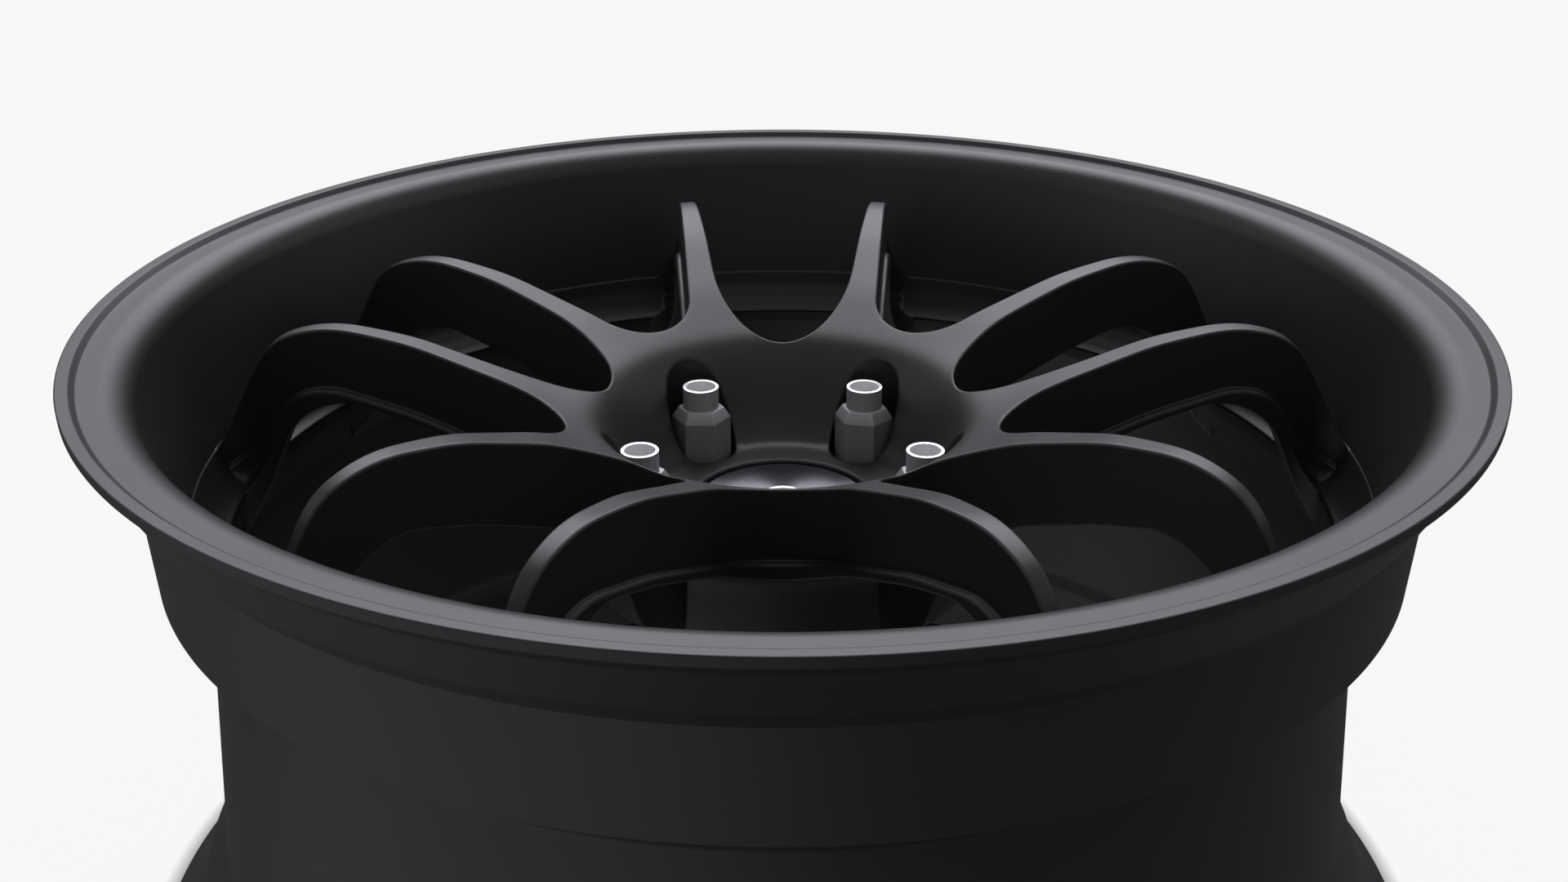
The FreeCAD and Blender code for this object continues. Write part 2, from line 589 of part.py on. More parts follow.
slot.Visibility = False
legs = around(cap, [leg_cut], "leg_slots")
nodes.append(cap)

ring = doc.addObject("Part::Torus", "cap_spring_ring")
bind(ring, "Radius1", "$cap_groove - $wire_radius")
bind(ring, "Radius2", "$wire_radius")
bind(ring, "Placement.Base.z", "$wire_level")
nodes.append(ring)

nodes.append(solid_of_turn("hub_ring", [
    ("ring_bore", "ring_bottom"), ("ring_outer", "ring_bottom"), ("ring_outer", "ring_shoulder"),
    ("ring_lead_radius", "ring_top"), ("ring_bore", "ring_top")]))

# ---- clamped tyre valve: turned about its own axis, then laid radially ---------------------


def laid_radially(body):
    """Turns the body's +Z (distance from the wheel axis) to point outwards at the valve azimuth."""
    body.Placement.Rotation = FreeCAD.Rotation(FreeCAD.Vector(1, 0, 0), 90)
    bind(body, "Placement.Base.z", "$valve_height")
    nodes.append(body)


laid_radially(solid_of_turn("valve_stem", [
    ("stem_bore", "stem_tip"), ("stem_neck", "stem_tip"), ("stem_neck", "stem_shoulder"),
    ("stem_radius", "stem_cone"), ("stem_radius", "stem_head_in"), ("stem_head", "stem_head_in"),
    ("stem_head", "stem_head_edge"), ("stem_head_face", "stem_head_out"), ("stem_bore", "stem_head_out")]))
laid_radially(solid_of_turn("valve_grommet", [
    ("stem_radius", "grommet_in"), ("valve_hole", "grommet_in"), ("valve_hole", "grommet_collar"),
    ("grommet_radius", "grommet_collar"), ("grommet_radius", "grommet_out"),
    ("stem_radius", "grommet_out")]))
laid_radially(solid_of_turn("valve_washer", [
    ("stem_clear", "washer_in"), ("washer_radius", "washer_in"), ("washer_radius", "flat_inner"),
    ("stem_clear", "flat_inner")]))
valve_nut = new_body("valve_nut")
hex_prism(valve_nut, "valve_nut_side", "valve_nut_in", "washer_in")
turned(valve_nut, [("zero", "valve_nut_low"), ("stem_clear", "valve_nut_low"),
                   ("stem_clear", "valve_nut_high"), ("zero", "valve_nut_high")], cut=True)
laid_radially(valve_nut)
laid_radially(solid_of_turn("valve_core", [
    ("core_bore", "core_tip"), ("core_radius", "core_tip"), ("core_radius", "core_end"),
    ("core_bore", "core_end")]))
laid_radially(solid_of_turn("valve_pin", [
    ("zero", "pin_tip"), ("pin_radius", "pin_tip"), ("pin_radius", "pin_neck"),
    ("pin_seat", "pin_neck"), ("pin_seat", "pin_end"), ("zero", "pin_end")]))
laid_radially(solid_of_turn("valve_cap", [
    ("zero", "vcap_tip"), ("vcap_crown", "vcap_tip"), ("vcap_radius", "vcap_shoulder"),
    ("vcap_radius", "vcap_mouth"), ("vcap_bore", "vcap_mouth"), ("vcap_bore", "vcap_roof"),
    ("zero", "vcap_roof")]))

# ---- check and write ---------------------------------------------------------------------

doc.recompute()
for thing in doc.Objects:
    if "Invalid" in thing.State or "Error" in thing.State:
        raise RuntimeError("%s failed to rebuild" % thing.Label)
os.makedirs("parts", exist_ok=True)
for node in nodes:
    if node.Shape.isNull() or not node.Shape.isValid():
        raise RuntimeError("%s has no valid shape" % node.Label)
    node.Shape.exportStep("parts/%s.step" % node.Label)
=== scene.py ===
import json
import math
import bmesh
import bpy
import numpy as np
from mathutils import Matrix, Vector
from mathutils.geometry import delaunay_2d_cdt


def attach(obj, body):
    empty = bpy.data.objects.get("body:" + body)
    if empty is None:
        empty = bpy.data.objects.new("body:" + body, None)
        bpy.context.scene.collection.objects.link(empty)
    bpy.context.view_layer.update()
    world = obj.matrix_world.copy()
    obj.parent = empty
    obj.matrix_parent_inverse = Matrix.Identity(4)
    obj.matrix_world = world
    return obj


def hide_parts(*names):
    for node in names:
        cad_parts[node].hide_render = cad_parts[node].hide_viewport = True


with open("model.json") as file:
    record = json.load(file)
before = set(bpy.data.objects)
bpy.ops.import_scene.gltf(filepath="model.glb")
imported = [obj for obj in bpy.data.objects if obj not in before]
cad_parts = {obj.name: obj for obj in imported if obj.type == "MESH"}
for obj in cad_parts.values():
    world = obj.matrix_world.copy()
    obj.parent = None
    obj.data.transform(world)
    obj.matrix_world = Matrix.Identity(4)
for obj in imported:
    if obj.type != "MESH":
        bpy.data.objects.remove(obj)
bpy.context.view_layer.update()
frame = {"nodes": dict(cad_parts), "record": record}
nodes = frame["nodes"]
scene = bpy.context.scene


MM = 0.001
LUGS = 5
HALF_SECTOR = math.pi / LUGS
LUG_AXIS = math.radians(54)
PITCH_RADIUS = 57.15  # millimetres, as in the skin below
# the nuts in metres, as their materials see them: heights, then how far the bare rim's fade lies
# below the top and the bore's below the sleeve's floor, then the radii where the bare bore ends
NUT_TOP, HEX_TOP, HEX_SHOULDER, SLEEVE_FLOOR = 0.21415, 0.205, 0.2008, 0.201
RIM_START, RIM_FULL, FLOOR_FADE = 0.00036, 0.00026, 0.0002
BORE_FULL, BORE_END = 0.0066, 0.0067
# nut colours: bare rim and bore, a painted highlight for the crown's rounded edges, and dark streaks
BARE_METAL, EDGE_PAINTED_HIGHLIGHT, STREAK_METAL = (0.92,) * 3, (0.95,) * 3, (0.10,) * 3

# ---- node material helpers ---------------------------------------------------------------


class Mat:
    """A Principled material built from object-space noise; helpers return sockets."""

    def __init__(self, name, **sockets):
        self.mat = bpy.data.materials.new(name)
        self.mat.use_nodes = True
        self.tree = self.mat.node_tree
        self.shader = self.tree.nodes["Principled BSDF"]
        for key, value in sockets.items():
            self.shader.inputs[key.replace("_", " ")].default_value = value
        self.where = self.tree.nodes.new("ShaderNodeTexCoord").outputs["Object"]

    def node(self, kind, inputs=(), **settings):
        made = self.tree.nodes.new(kind)
        for key, value in settings.items():
            setattr(made, key, value)
        for key, value in dict(inputs).items():
            if isinstance(value, bpy.types.NodeSocket):
                self.tree.links.new(value, made.inputs[key])
            else:
                made.inputs[key].default_value = value
        return made

    def link(self, socket, name):
        self.tree.links.new(socket, self.shader.inputs[name])

    def noise(self, scale, detail=3.0, where=None):
        return self.node("ShaderNodeTexNoise", {"Vector": where or self.where, "Scale": scale,
                                                "Detail": detail}).outputs["Fac"]

    def ramp(self, socket, low, high, start=0.0, end=1.0):
        """Maps a 0-1 socket to a range of numbers."""
        return self.node("ShaderNodeMapRange", {"Value": socket, "From Min": start, "From Max": end,
                                                "To Min": low, "To Max": high}).outputs["Result"]

    def tint(self, socket, dark, light):
        """Blends two colours by a 0-1 socket."""
        mix = self.node("ShaderNodeMix", data_type="RGBA")
        self.tree.links.new(socket, mix.inputs[0])
        mix.inputs[6].default_value = (*dark, 1.0)
        mix.inputs[7].default_value = (*light, 1.0)
        return mix.outputs[2]

    def blend(self, share, under, over):
        """Lays one colour over a colour socket by a 0-1 socket."""
        mix = self.node("ShaderNodeMix", data_type="RGBA")
        self.tree.links.new(share, mix.inputs[0])
        self.tree.links.new(under, mix.inputs[6])
        mix.inputs[7].default_value = (*over, 1.0)
        return mix.outputs[2]

    def bump(self, height, strength, distance, under):
        return self.node("ShaderNodeBump", {"Height": height, "Strength": strength, "Distance": distance,
                                            "Normal": under}).outputs["Normal"]

    def soft_edge(self, radius):
        return self.node("ShaderNodeBevel", {"Radius": radius}, samples=6).outputs["Normal"]


def coating():
    m = Mat("forging_coating_satin", Metallic=0.0, IOR=1.5)
    broad = m.noise(9.0, 4.0)
    fine = m.noise(900.0, 2.0)
    m.link(m.tint(broad, (0.0155, 0.0155, 0.0175), (0.0190, 0.0188, 0.0215)), "Base Color")
    m.link(m.ramp(broad, 0.38, 0.44, 0.3, 0.7), "Roughness")
    edge = m.soft_edge(0.0009)
    m.link(m.bump(fine, 0.10, 0.0001, edge), "Normal")
    return m.mat


def steel(name, colour, rough):
    m = Mat(name, Metallic=1.0)
    streak = m.noise(300.0, 3.0)
    m.link(m.tint(streak, [c * 0.85 for c in colour], [c * 1.15 for c in colour]), "Base Color")
    m.link(m.ramp(streak, rough - 0.05, rough + 0.06, 0.3, 0.7), "Roughness")
    m.link(m.bump(streak, 0.08, 0.0001, m.soft_edge(0.0003)), "Normal")
    return m.mat


def nut_steel(number):
    """Dark phosphated steel, with painted light on the hex crown: its facets are painted lighter and its
    rounded edges carry a painted highlight; the sleeve's rim and bore are left bare, found from the lug's
    axis.
    """
    m = Mat("nut_steel_dark_%d" % number)
    angle = LUG_AXIS + 2 * HALF_SECTOR * (number - 1)
    parts = m.node("ShaderNodeSeparateXYZ", {0: m.where}).outputs
    flat = m.node("ShaderNodeCombineXYZ", {"X": parts["X"], "Y": parts["Y"]}).outputs["Vector"]
    axis = (MM * PITCH_RADIUS * math.cos(angle), MM * PITCH_RADIUS * math.sin(angle), 0.0)
    away = m.node("ShaderNodeVectorMath", {0: flat, 1: axis}, operation="DISTANCE").outputs["Value"]
    rim = m.ramp(parts["Z"], 0.0, 1.0, NUT_TOP - RIM_START, NUT_TOP - RIM_FULL)
    deep = m.ramp(parts["Z"], 0.0, 1.0, SLEEVE_FLOOR - FLOOR_FADE, SLEEVE_FLOOR)
    bore = m.node("ShaderNodeMath", {0: m.ramp(away, 1.0, 0.0, BORE_FULL, BORE_END), 1: deep},
                  operation="MULTIPLY").outputs["Value"]
    bare = m.node("ShaderNodeMath", {0: rim, 1: bore}, operation="MAXIMUM").outputs["Value"]
    # painted light: the hex crown's facets face up to the light, so they are painted lighter than the body
    crown_painted_light = m.ramp(parts["Z"], 0.0, 1.0, HEX_SHOULDER, HEX_TOP)
    soft = m.soft_edge(0.0005)
    facing = m.node("ShaderNodeVectorMath", {0: soft, 1: m.node("ShaderNodeNewGeometry").outputs["Normal"]},
                    operation="DOT_PRODUCT").outputs["Value"]
    # painted highlight: the crown's rounded edges, found where the bevel normal leaves the true normal, are
    # painted near white
    edge = m.node("ShaderNodeMath", {0: m.ramp(facing, 0.85, 0.0, 0.90, 0.995), 1: crown_painted_light},
                  operation="MULTIPLY").outputs["Value"]
    streak = m.noise(1.0, 3.0, m.node("ShaderNodeVectorMath", {0: m.where, 1: (1600.0, 1600.0, 60.0)},
                                      operation="MULTIPLY").outputs["Vector"])
    # body colour, painted lighter towards the crown as painted light
    body = m.tint(crown_painted_light, (0.30, 0.30, 0.302), (0.42, 0.42, 0.425))
    colour = m.blend(m.ramp(streak, 0.0, 0.22, 0.3, 0.7), body, STREAK_METAL)
    # lays the painted highlight on the crown's rounded edges
    colour = m.blend(edge, colour, EDGE_PAINTED_HIGHLIGHT)
    m.link(m.blend(bare, colour, BARE_METAL), "Base Color")
    m.link(m.ramp(rim, 0.30, 0.80), "Metallic")
    m.link(m.ramp(bare, 0.42, 0.33), "Roughness")
    lit = m.node("ShaderNodeMix", {0: rim}, data_type="VECTOR")
    m.tree.links.new(m.bump(streak, 0.06, 0.0001, soft), lit.inputs[4])
    lit.inputs[5].default_value = (0.0, 0.0, 1.0)
    m.link(lit.outputs[1], "Normal")
    return m.mat


def spun(name, colour, rough):
    """Lathe-turned face: tangents run round the axis; noise varies its colour and roughness a little."""
    m = Mat(name, Metallic=1.0, Anisotropic=0.93)
    m.link(m.node("ShaderNodeTangent", direction_type="RADIAL", axis="Z").outputs["Tangent"], "Tangent")
    fine = m.noise(120.0)
    m.link(m.tint(fine, [c * 0.95 for c in colour], [c * 1.05 for c in colour]), "Base Color")
    m.link(m.ramp(fine, rough - 0.01, rough + 0.01, 0.3, 0.7), "Roughness")
    return m.mat


def moulded(name, colour, rough):
    m = Mat(name)
    grain = m.noise(1500.0, 2.0)
    m.link(m.tint(grain, [c * 0.8 for c in colour], [c * 1.25 for c in colour]), "Base Color")
    m.link(m.ramp(grain, rough - 0.06, rough + 0.06, 0.3, 0.7), "Roughness")
    m.link(m.bump(grain, 0.15, 0.0001, m.soft_edge(0.0002)), "Normal")
    return m.mat


MATERIALS = {
    "forging_coating": coating(),
    "seat_steel": steel("seat_steel_turned", (0.30, 0.30, 0.31), 0.30),
    "collar_steel": steel("collar_steel_turned", (0.16, 0.16, 0.165), 0.38),
    "cap_metal": spun("cap_metal_spun", (0.25, 0.25, 0.285), 0.42),
    "cap_plastic": moulded("cap_plastic_black", (0.015, 0.015, 0.016), 0.45),
    "spring_wire": steel("spring_wire_bright", (0.55, 0.55, 0.55), 0.22),
    "ring_alloy": steel("ring_alloy_turned", (0.55, 0.56, 0.58), 0.30),
    "rubber": moulded("valve_rubber", (0.012, 0.012, 0.012), 0.7),
    "valve_cap_metal": steel("valve_cap_anodised", (0.05, 0.05, 0.05), 0.35),
    "brass": steel("valve_brass", (0.62, 0.42, 0.16), 0.28),
    "valve_metal": steel("valve_metal_anodised", (0.09, 0.09, 0.10), 0.35),
}
for row in frame["record"]["subparts"]:
    node = nodes[row["node"]]
    node.data.materials.clear()
    if row["material_slot"] == "nut_steel":
        node.data.materials.append(nut_steel(int(row["node"][-1])))
    else:
        node.data.materials.append(MATERIALS[row["material_slot"]])

# ---- the forging's finished skin ------------------------------------------------------------
# Meant as two closed shells, in millimetres: the barrel, and the hub with its spokes, which overlap
# where the spokes run into the barrel. They start from the CAD forging's profiles and windows; edges
# are rounded, the spokes' heights are blurred and the pair windows' outlines are eased, so they do
# not follow the CAD exactly. One half sector, from a lug's axis to a spoke pair's, is mirrored.

EDGE, FOOT_EDGE = 1.1, 0.8
SPOKE_END, WINDOW_REACH, LEDGE_REACH, WINDOW_CORNER = 223.6, 223.8, 212.8, 13.0
STEP_WIDTH, LEDGE_ROW = 2.6, 5.5
END_OVERRUN = 0.3
FACE_BLUR, STEP_BLUR, BLUR_GRID, BLUR_CELLS = 4.5, 2.5, 0.5, 24
EASE_BLUR, EASE_START, EASE_END, EASE_GRID, EASE_LEAST = 5.0, 60.0, 95.0, 0.25, 0.2
EDGE_ROWS, WALL_ROWS, LOWER_ROWS, FOOT_ROWS, POCKET_ROWS = 5, 7, 13, 4, 9
FILL_SPACING, WELD_DISTANCE = 2.6, 0.002
BARREL_FACETS, SEAT_FACETS, CAP_FACETS = 480, 64, 240
SHARP_ANGLE = math.radians(35.0)
VALVE_HEIGHT = 0.140

BARREL = [  # radius, height, rounding; outside from the front lip to the back, then inside
    (261.0, 265.0, 0.35), (260.8, 261.2, 0.8), (255.8, 256.6, 1.2), (244.6, 237.0, 18.0),
    (239.3, 230.1, 0.5), (236.2, 188.5, 0.6), (219.0, 176.0, 6.0), (225.8, 59.0, 8.0),
    (235.1, 46.0, 2.0), (238.2, 28.0, 0.6), (243.0, 21.0, 9.0), (255.6, 4.8, 1.2),
    (260.7, 1.2, 0.5), (260.4, 0.0, 0.2), (243.5, 0.0, 2.0), (231.6, 22.0, 30.0),
    (230.2, 47.0, 9.0), (220.6, 60.0, 9.0), (214.4, 168.0, 8.0), (212.6, 181.0, 4.0),
    (212.6, 186.6, 0.5), (217.0, 187.5, 12.0), (221.8, 197.2, 14.0), (223.1, 202.9, 0.25),
    (223.7, 203.3, 0.15), (237.8, 262.8, 12.0),
    (254.3, 262.8, 0.7), (256.5, 265.0, 0.7)]
FACE = [
    (35.7, 185.9, 0.0), (53.8, 185.9, 5.0), (68.5, 222.3, 18.0), (104.0, 237.5, 90.0),
    (142.0, 249.9, 90.0), (176.5, 255.0, 55.0), (201.5, 246.5, 24.0), (217.5, 214.5, 14.0),
    (226.0, 196.0, 0.0)]
STEP = [
    (30.0, 170.0, 0.0), (84.0, 200.8, 14.0), (104.0, 208.2, 90.0), (142.0, 222.2, 90.0),
    (175.0, 230.0, 30.0), (192.5, 226.2, 24.0), (207.5, 203.0, 24.0), (226.0, 190.0, 0.0)]
UNDER = [
    (30.0, 157.0, 0.0), (76.0, 157.0, 2.0), (84.0, 193.0, 14.0), (108.0, 205.6, 90.0),
    (140.0, 217.6, 55.0), (165.0, 224.6, 24.0), (189.5, 221.3, 32.0), (204.0, 186.5, 16.0),
    (213.0, 169.5, 1.0), (215.5, 168.5, 0.5), (217.5, 176.0, 0.5), (226.0, 188.0, 0.0)]
BORE = [(34.9, 185.1), (34.9, 172.55), (34.0, 172.55), (34.0, 166.6), (36.5, 166.6), (36.5, 157.0)]
STUD = [(13.9, 177.7), (13.4, 177.2), (12.9, 177.2), (12.6, 176.9), (12.6, 168.0), (7.6, 168.0),
        (7.25, 167.6), (7.25, 157.4), (7.6, 157.0)]
STEP_SHAPE = [(0.0, 1.0), (0.06, 0.5), (0.15, 0.2), (0.45, 0.0), (0.65, -0.2), (0.82, -0.6),
              (0.94, -1.2), (1.0, -1.9)]


# window corners as (along, across) from the window's axis, and their roundings; each outline
# function adds its own terms in margin, which take the lower outline inside the upper one
PAIR_TIP, PAIR_BEND, PAIR_END = (73.0, 11.4), (95.9, 27.45), (205.0, 44.7)
PAIR_TIP_ROUND, PAIR_BEND_ROUND = 20.0, 64.0
GAP_APEX, GAP_END, GAP_ROUND = 62.1, (192.0, 77.6), 25.2


def corner_arc(before, here, after, radius, count):
    """Points of the arc that rounds one corner of a path."""
    a, b = (Vector(before) - Vector(here)).normalized(), (Vector(after) - Vector(here)).normalized()
    half = a.angle(b) / 2
    reach = radius / math.tan(half)
    centre = Vector(here) + (a + b).normalized() * radius / math.sin(half)
    start, end = Vector(here) + a * reach - centre, Vector(here) + b * reach - centre
    turn = start.angle_signed(end)
    steps = max(2, count)
    return [centre + Vector((start.x * math.cos(t) + start.y * math.sin(t),
                             -start.x * math.sin(t) + start.y * math.cos(t)))
            for t in (turn * k / steps for k in range(steps + 1))]


def rounded_path(corners, closed=False, per_turn=5.0, longest=6.0):
    """Profile of (radius, height, rounding) corners as close points."""
    points = []
    count = len(corners)
    for i, (x, y, radius) in enumerate(corners):
        if radius and (closed or 0 < i < count - 1):
            before, after = corners[i - 1][:2], corners[(i + 1) % count][:2]
            bend = math.degrees(math.pi - (Vector(before) - Vector((x, y))).angle(
                Vector(after) - Vector((x, y))))
            points += corner_arc(before, (x, y), after, radius, math.ceil(bend / per_turn))
        else:
            points.append(Vector((x, y)))
    if closed:
        points.append(points[0])
    fine = [points[0]]
    for p, q in zip(points, points[1:]):
        pieces = max(1, math.ceil((q - p).length / longest))
        fine += [p.lerp(q, k / pieces) for k in range(1, pieces + 1)]
    return fine[:-1] if closed else fine


class Height:
    """Height of a surface of revolution at a given radius."""

    def __init__(self, corners, blur=0.0):
        points = rounded_path(corners, per_turn=3.0, longest=3.0)
        r, z = np.array([p.x for p in points]), np.array([p.y for p in points])
        self.r, self.z = r, z
        if blur:
            self.r = np.arange(r[0], r[-1], BLUR_GRID)
            reach = BLUR_CELLS * BLUR_GRID
            fine = np.interp(np.arange(r[0] - reach, r[-1] + reach, BLUR_GRID), r, z)
            weight = np.exp(-0.5 * (np.arange(-BLUR_CELLS, BLUR_CELLS + 1) * BLUR_GRID / blur) ** 2)
            self.z = np.convolve(fine, weight / weight.sum(), "valid")[:len(self.r)]

    def __call__(self, radius):
        return float(np.interp(radius, self.r, self.z))


face_z, step_z, under_z = Height(FACE, FACE_BLUR), Height(STEP, STEP_BLUR), Height(UNDER)


def outer_corner(point, along, reach):
    """Arc from a window's side onto the circle it ends at, then straight out to the spoke's end."""
    inward = Vector((along.y, -along.x))
    base = point + inward * WINDOW_CORNER
    dot = base.dot(along)
    run = -dot + math.sqrt(dot * dot - base.dot(base) + (reach - WINDOW_CORNER) ** 2)
    centre = base + along * run
    spoke = -inward * WINDOW_CORNER

    def at(turn):
        return centre + Vector((spoke.x * math.cos(turn) + spoke.y * math.sin(turn),
                                -spoke.x * math.sin(turn) + spoke.y * math.cos(turn)))

    low, high = 0.0, (-inward).angle(centre.normalized())
    for _ in range(40):
        middle = (low + high) / 2
        low, high = (middle, high) if at(middle).length < SPOKE_END else (low, middle)
    arc = [at(low * k / 14) for k in range(15)]
    last = arc[-1]
    return arc + [last * (1 + (SPOKE_END + END_OVERRUN - last.length) / last.length * k / 4)
                  for k in range(1, 5)]


def pair_window(margin, reach):
    """Half outline of a window between the two spokes of a pair, from its axis outwards."""
    tip = Vector((PAIR_TIP[0] + margin, PAIR_TIP[1] - 0.73 * margin))
    bend = Vector((PAIR_BEND[0] + 0.4 * margin, PAIR_BEND[1] - 1.07 * margin))
    end = Vector((PAIR_END[0], PAIR_END[1] - 1.01 * margin))
    first = corner_arc((tip.x, 0.0), tip, bend, PAIR_TIP_ROUND - 1.7 * margin, 14)
    second = corner_arc(tip, bend, end, PAIR_BEND_ROUND - margin, 12)
    third = outer_corner(end, (end - bend).normalized(), reach)
    return eased(stitched([[Vector((tip.x, 0.0)), first[0]], first, [first[-1], second[0]], second,
                           [second[-1], third[0]], third], [2, 0, 5, 0, 60, 0]))


def gap_window(margin, reach):
    """Half outline of a window between two pairs, from its axis outwards."""
    apex = GAP_APEX + 1.94 * margin
    end = Vector((GAP_END[0], GAP_END[1] - 1.17 * margin))
    along = (end - Vector((apex, 0.0))).normalized()
    radius = GAP_ROUND - margin
    slope = math.atan2(along.y, along.x)
    centre = Vector((apex + radius / math.sin(slope), 0.0))
    stop = math.pi / 2 - slope
    tip = [centre + Vector((-math.cos(t), math.sin(t))) * radius
           for t in (stop * k / 22 for k in range(23))]
    outer = outer_corner(end, along, reach)
    return stitched([tip, [tip[-1], outer[0]], outer], [0, 66, 0])


def stitched(runs, pieces):
    """Joins runs of points, with each straight one divided into that many pieces."""
    points = [runs[0][0]]
    for run, count in zip(runs, pieces):
        if count:
            points += [run[0].lerp(run[1], k / count) for k in range(1, count + 1)]
        else:
            points += run[1:]
    return points


def eased(points):
    """Evens out an outline's curvature; the blur fades out between two distances along it."""
    plan = np.array(points)
    plan = np.concatenate([plan[:0:-1] * (1, -1), plan])
    along = np.concatenate([[0.0], np.cumsum(np.hypot(*np.diff(plan, axis=0).T))])
    along -= along[len(points) - 1]
    even = np.arange(-EASE_END - 4 * EASE_BLUR, EASE_END + 4 * EASE_BLUR, EASE_GRID)
    x, y = np.interp(even, along, plan[:, 0]), np.interp(even, along, plan[:, 1])
    result = []
    for point, here in zip(points, along[len(points) - 1:]):
        width = EASE_BLUR * min(1.0, max(0.0, (EASE_END - here) / (EASE_END - EASE_START)))
        if width > EASE_LEAST:
            weight = np.exp(-0.5 * ((even - here) / width) ** 2)
            point = Vector((float((weight * x).sum()), float((weight * y).sum()))) / float(weight.sum())
        result.append(point)
    result[0].y = 0.0
    return result


def offset(points, distance):
    """Moves an outline that starts on its axis away from the window, into the metal."""
    moved = []
    for i, p in enumerate(points):
        before, after = points[max(i - 1, 0)], points[min(i + 1, len(points) - 1)]
        along = (after - before).normalized()
        if i == 0:
            along = Vector((0.0, 1.0))
        moved.append(p + Vector((-along.y, along.x)) * distance)
    return moved


class SectorMesh:
    """Collects one half sector; x runs along the lug's axis line, angles towards the pair's."""

    def __init__(self):
        self.mesh = bmesh.new()

    def row(self, plan, height):
        """One line of vertices over plan points; height is a number or a function of the radius."""
        return [self.mesh.verts.new((p.x, p.y, height(p.length) if callable(height) else height))
                for p in plan]

    def skin(self, rows):
        for low, high in zip(rows, rows[1:]):
            for i in range(len(low) - 1):
                self.mesh.faces.new((low[i], low[i + 1], high[i + 1], high[i]))

    def fill(self, loop, height, spacing):
        """Triangles over a closed loop of vertices, with points on rings inside it."""
        rim = np.array([(v.co.x, v.co.y) for v in loop])
        gap_to_next = np.roll(rim, -1, 0) - rim
        inner = []
        levels = sorted(set(round(r, 2) for r in height.r))
        rings, last = [], -9.0
        for r in levels:
            if r - last > 0.55 * spacing:
                rings.append(r)
                last = r
        for ring, r in enumerate(rings):
            count = max(2, int(r * HALF_SECTOR / spacing))
            inner += [(r * math.cos(a), r * math.sin(a)) for a in
                      (HALF_SECTOR * (k + 0.5 * (ring % 2)) / count for k in range(count + 1))]
        inner = np.array(inner)
        x, y = inner[:, :1], inner[:, 1:]
        ax, ay, bx, by = rim[:, 0], rim[:, 1], np.roll(rim[:, 0], -1), np.roll(rim[:, 1], -1)
        crosses = ((ay > y) != (by > y)) & (x < (bx - ax) * (y - ay) / np.where(by == ay, 1.0, by - ay) + ax)
        inside = crosses.sum(1) % 2 == 1
        share = np.clip(((x - ax) * gap_to_next[:, 0] + (y - ay) * gap_to_next[:, 1])
                        / (gap_to_next ** 2).sum(1), 0, 1)
        distance = np.hypot(x - ax - share * gap_to_next[:, 0], y - ay - share * gap_to_next[:, 1]).min(1)
        inner = inner[inside & (distance > 0.45 * spacing)]
        points = [Vector(p) for p in rim] + [Vector(p) for p in inner]
        made = delaunay_2d_cdt(points, [], [list(range(len(rim)))], 1, 1e-7)
        verts = {}
        for out, sources in enumerate(made[3]):
            if sources and sources[0] < len(loop):
                verts[out] = loop[sources[0]]
            else:
                p = made[0][out]
                verts[out] = self.mesh.verts.new((p.x, p.y, height(p.length)))
        for triangle in made[2]:
            corners = [verts[i] for i in triangle]
            if len(set(corners)) == 3 and not self.mesh.faces.get(corners):
                self.mesh.faces.new(corners)


def turned_back(points):
    """Takes a pair outline, drawn along +x, to the far edge of the half sector."""
    return [Vector((math.cos(HALF_SECTOR - a) * p.length, math.sin(HALF_SECTOR - a) * p.length))
            for p, a in ((p, math.atan2(p.y, p.x)) for p in points)]


def polar(radius, angle):
    return Vector((radius * math.cos(angle), radius * math.sin(angle)))


def window_wall(sector, outline, place, step):
    """Side of a window: rounded top edge, wall, step, lower wall and rounded lower edge."""
    upper, lower, ledge = outline(0.0, WINDOW_REACH), outline(step, WINDOW_REACH), outline(step, LEDGE_REACH)
    rows = []
    for k in range(EDGE_ROWS + 1):
        turn = math.pi / 2 * k / EDGE_ROWS
        plan = place(offset(upper, EDGE * (1 - math.sin(turn))))
        rows.append(sector.row(plan, lambda r, t=turn: face_z(r) - EDGE * (1 - math.cos(t))))
    plan = place(upper)
    for k in range(1, WALL_ROWS):
        rows.append(sector.row(plan, lambda r, s=k / WALL_ROWS: (face_z(r) - EDGE) * (1 - s)
                               + (step_z(r) + STEP_SHAPE[0][1]) * s))
    for share, rise in STEP_SHAPE:
        mixed = place([a.lerp(b, share) for a, b in zip(upper, lower)])
        rows.append(sector.row(mixed, lambda r, up=rise: step_z(r) + up))
    for k in range(1, LOWER_ROWS):  # the corner by the ledge grows down to the ledge, as a fillet
        grown = 1 - math.sqrt(1 - min(1.0, k / LEDGE_ROW) ** 2)
        plan = place([a.lerp(b, grown) for a, b in zip(lower, ledge)])
        rows.append(sector.row(plan, lambda r, s=k / LOWER_ROWS: (step_z(r) + STEP_SHAPE[-1][1]) * (1 - s)
                               + (under_z(r) + FOOT_EDGE) * s))
    for k in range(FOOT_ROWS + 1):
        turn = math.pi / 2 * (1 - k / FOOT_ROWS)
        plan = place(offset(ledge, FOOT_EDGE * (1 - math.sin(turn))))
        rows.append(sector.row(plan, lambda r, t=turn: under_z(r) + FOOT_EDGE * (1 - math.cos(t))))
    sector.skin(rows)
    return rows[0], rows[-1]


